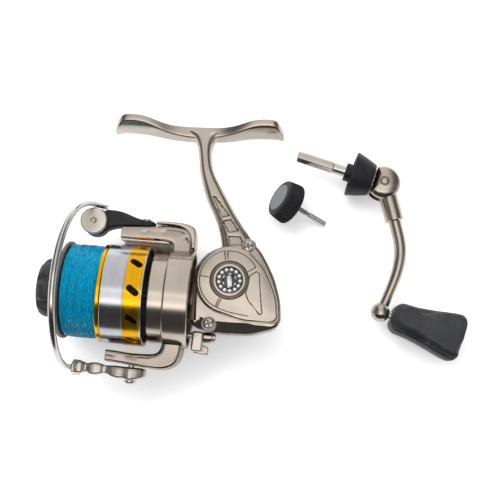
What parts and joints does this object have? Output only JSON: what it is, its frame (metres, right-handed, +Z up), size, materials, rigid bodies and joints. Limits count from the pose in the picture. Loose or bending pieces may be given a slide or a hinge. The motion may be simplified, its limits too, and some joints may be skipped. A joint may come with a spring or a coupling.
{
  "type": "spinning reel",
  "caption": "Spinning reel, handle and cap screw taken off: rod foot, gear case, stepped rotor with bail and line roller, slotted line spool, drag knob, folding crank handle.",
  "frame": {"origin": "under the middle of the bounding box, on the ground the reel lies on, left side down", "axes": "+X from the drag knob towards the tail and the laid-out handle, +Y from the gear case towards the rod foot, +Z up, out of the side cover"},
  "size_m": [0.1378, 0.0866, 0.0417],
  "materials": {
    "body": "gloss black nickel with a warm sheen",
    "champagne": "plated, glossy champagne",
    "chrome": "polished",
    "steel": "bright",
    "dark_steel": "satin",
    "silver": "satin silver",
    "gold": "satin gold",
    "brass": "machined",
    "black": "satin black",
    "grey_plastic": "satin grey",
    "beads": "white beads",
    "zinc": "zinc plated",
    "fibre": "felt and fibre",
    "line": "blue fishing line"
  },
  "bodies": {
    "housing": {"body_frame": "body", "side_cover": "body", "cover_screw_stem": "steel", "cover_screw_belly": "steel", "crank_bearing_race": "steel", "left_bush": "brass", "pinion_bearing": "steel", "handle_shaft": "steel", "cap_screw_knob": "black", "cap_screw_disc": "grey_plastic", "cap_screw_shank": "zinc"},
    "drive_gear": {"drive_gear": "zinc", "crank_bearing_balls": "beads"},
    "oscillating_gear": {"oscillating_gear": "brass"},
    "rotor": {"rotor": "champagne", "pinion_gear": "brass", "ratchet_wheel": "dark_steel", "rotor_nut": "steel", "rotor_arm_cover": "champagne", "bail_spring": "steel", "bail_pivot_screw_upper": "steel", "bail_pivot_screw_lower": "steel"},
    "bail": {"bail_wire": "chrome", "bail_arm": "black", "bail_lever": "chrome", "roller_cap_screw": "champagne"},
    "line_roller": {"line_roller": "chrome"},
    "main_shaft": {"main_shaft": "steel", "slider_block": "brass"},
    "spool": {"spool_core": "silver", "spool_skirt": "gold", "spool_band": "silver", "line_core": "line", "line_winding": "line", "drag_washer_1": "fibre", "drag_washer_2": "fibre", "drag_washer_3": "fibre"},
    "drag_knob": {"drag_knob": "black", "drag_nut": "brass"},
    "anti_reverse_lever": {"anti_reverse_lever": "chrome", "anti_reverse_pawl": "dark_steel", "lever_clip": "dark_steel"},
    "crank_arm": {"crank_arm": "body", "knuckle_pin": "steel", "knob_spindle": "steel"},
    "handle_collar": {"handle_collar": "black"},
    "handle_knob": {"handle_knob": "black"}
  },
  "joints": [
    {"name": "rotor_spin", "type": "hinge", "parent": "housing", "child": "rotor", "pos_m": [-0.00994, -0.0167, 0.016], "axis": [1, 0, 0], "continuous": true},
    {"name": "drive_gear_spin", "type": "hinge", "parent": "housing", "child": "drive_gear", "pos_m": [-0.00994, -0.0105, 0.016], "axis": [0, 0, 1], "continuous": true},
    {"name": "oscillating_gear_spin", "type": "hinge", "parent": "housing", "child": "oscillating_gear", "pos_m": [-0.00172, -0.0167, 0.016], "axis": [0, 0, 1], "continuous": true},
    {"name": "bail_flip", "type": "hinge", "parent": "rotor", "child": "bail", "pos_m": [-0.03844, -0.0167, 0.016], "axis": [0, 1, 0], "range_deg": [0, 85]},
    {"name": "line_roller_spin", "type": "hinge", "parent": "bail", "child": "line_roller", "pos_m": [-0.05474, 0.0055, 0.016], "axis": [0, 0, 1], "continuous": true},
    {"name": "spool_oscillation", "type": "slide", "parent": "housing", "child": "main_shaft", "axis": [1, 0, 0], "range_m": [0, 0.0055]},
    {"name": "spool_slip", "type": "hinge", "parent": "main_shaft", "child": "spool", "pos_m": [-0.00994, -0.0167, 0.016], "axis": [1, 0, 0], "continuous": true},
    {"name": "drag_knob_turn", "type": "hinge", "parent": "main_shaft", "child": "drag_knob", "pos_m": [-0.00994, -0.0167, 0.016], "axis": [1, 0, 0], "range_deg": [-360, 720]},
    {"name": "anti_reverse_lever_turn", "type": "hinge", "parent": "housing", "child": "anti_reverse_lever", "pos_m": [-0.00994, -0.0279, 0.016], "axis": [-1, 0, 0], "range_deg": [0, 25]},
    {"name": "handle_fold", "type": "hinge", "parent": "housing", "child": "crank_arm", "pos_m": [0.03786, 0.0285, 0.0075], "axis": [0, 0, -1], "range_deg": [0, 40]},
    {"name": "handle_collar_slide", "type": "slide", "parent": "housing", "child": "handle_collar", "axis": [-0.9709, 0.2394, 0], "range_m": [0, 0.0032]},
    {"name": "handle_knob_spin", "type": "hinge", "parent": "crank_arm", "child": "handle_knob", "pos_m": [0.03956, -0.0147, 0.0075], "axis": [0.9681, -0.2504, 0], "continuous": true}
  ],
  "couplings": [
    {"joint": "drive_gear_spin", "follows": "rotor_spin", "ratio": -0.2},
    {"joint": "oscillating_gear_spin", "follows": "rotor_spin", "ratio": 0.125},
    {"joint": "handle_collar_slide", "follows": "handle_fold", "m_per_rad": 0.00458}
  ]
}
